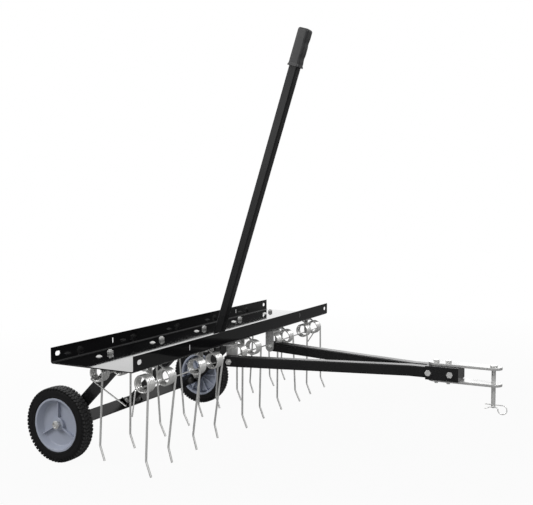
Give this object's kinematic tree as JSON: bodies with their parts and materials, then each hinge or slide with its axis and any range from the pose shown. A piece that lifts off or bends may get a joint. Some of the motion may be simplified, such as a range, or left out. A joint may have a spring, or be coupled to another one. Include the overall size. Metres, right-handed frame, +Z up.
{
  "type": "lawn aerator",
  "caption": "Tow-behind lawn aerator: open steel tray with staggered rows of sprung wire tines, wheels on a lever-lifted frame, and a pin hitch on a forked drawbar.",
  "frame": {"origin": "on the hitch pin's axis, halfway between the two hitch straps", "axes": "+X forward, towards the tractor; +Y towards the far end of the tray, the left side of travel; +Z up, along the hitch pin"},
  "size_m": [1.106, 1.0208, 1.0669],
  "materials": {
    "tray_paint": "glossy black powder coat",
    "tube_paint": "satin black powder coat",
    "frame_paint": "semi-gloss black powder coat",
    "zinc_wire": "bright zinc-plated spring wire",
    "zinc_plate": "bright zinc-plated flat steel",
    "zinc_hardware": "bright zinc-plated fasteners",
    "rim_plastic": "blue-grey moulded plastic",
    "tyre_rubber": "black moulded rubber",
    "grip_vinyl": "matte black dipped vinyl"
  },
  "bodies": {
    "tray_body": {"tray": "tray_paint", "drawbar_left": "tube_paint", "drawbar_right": "tube_paint", "drawbar_bracket_left": "zinc_plate", "drawbar_bracket_right": "zinc_plate", "drawbar_root_bolts": "zinc_hardware", "drawbar_root_nuts": "zinc_hardware", "bracket_bolts": "zinc_hardware", "bracket_nuts": "zinc_hardware", "hitch_sleeve": "tube_paint", "hitch_strap_upper": "zinc_plate", "hitch_strap_lower": "zinc_plate", "hitch_side_bolts": "zinc_hardware", "hitch_side_nuts": "zinc_hardware", "hitch_clamp_bolts": "zinc_hardware", "tine_front_1": "zinc_wire", "tine_front_2": "zinc_wire", "tine_front_3": "zinc_wire", "tine_front_4": "zinc_wire", "tine_front_5": "zinc_wire", "tine_rear_1": "zinc_wire", "tine_rear_2": "zinc_wire", "tine_rear_3": "zinc_wire", "tine_rear_4": "zinc_wire", "tine_rear_5": "zinc_wire", "tine_clips": "zinc_plate", "tine_bolts": "zinc_hardware", "tine_nuts": "zinc_hardware", "tine_rod_front": "zinc_wire", "tine_rod_rear": "zinc_wire", "rod_hangers": "zinc_plate", "hanger_bolts": "zinc_hardware", "hanger_nuts": "zinc_hardware", "frame_pivot_lugs": "frame_paint", "lever_pivot_bracket": "frame_paint", "frame_pivot_pins": "zinc_hardware", "lever_pivot_pin": "zinc_hardware"},
    "wheel_left": {"rim_left": "rim_plastic", "tyre_left": "tyre_rubber"},
    "wheel_right": {"rim_right": "rim_plastic", "tyre_right": "tyre_rubber"},
    "hitch_pin": {"hitch_pin": "zinc_plate"},
    "hair_cotter": {"hair_cotter": "zinc_wire"},
    "lift_frame": {"wheel_frame": "frame_paint", "lift_strut": "frame_paint", "lever_plates": "frame_paint", "lift_lever": "tube_paint", "hand_grip": "grip_vinyl", "lever_bolts": "zinc_hardware", "lever_nuts": "zinc_hardware", "strut_bolts": "zinc_hardware", "strut_nuts": "zinc_hardware", "axle_bolts": "zinc_hardware", "axle_washers": "zinc_hardware", "axle_nuts": "zinc_hardware"}
  },
  "joints": [
    {"name": "frame_lift", "type": "hinge", "parent": "tray_body", "child": "lift_frame", "pos_m": [-0.802, 0, 0.0237], "axis": [0, 1, 0], "range_deg": [0, 20]},
    {"name": "wheel_spin_right", "type": "hinge", "parent": "lift_frame", "child": "wheel_right", "pos_m": [-0.98174, -0.328, -0.15293], "axis": [0, 1, 0], "continuous": true},
    {"name": "wheel_spin_left", "type": "hinge", "parent": "lift_frame", "child": "wheel_left", "pos_m": [-0.98174, 0.328, -0.15293], "axis": [0, 1, 0], "continuous": true},
    {"name": "pin_pull", "type": "slide", "parent": "tray_body", "child": "hitch_pin", "axis": [0, 0, 1], "range_m": [0, 0.04]},
    {"name": "cotter_pull", "type": "slide", "parent": "hitch_pin", "child": "hair_cotter", "axis": [1, 0, 0], "range_m": [0, 0.03]}
  ]
}
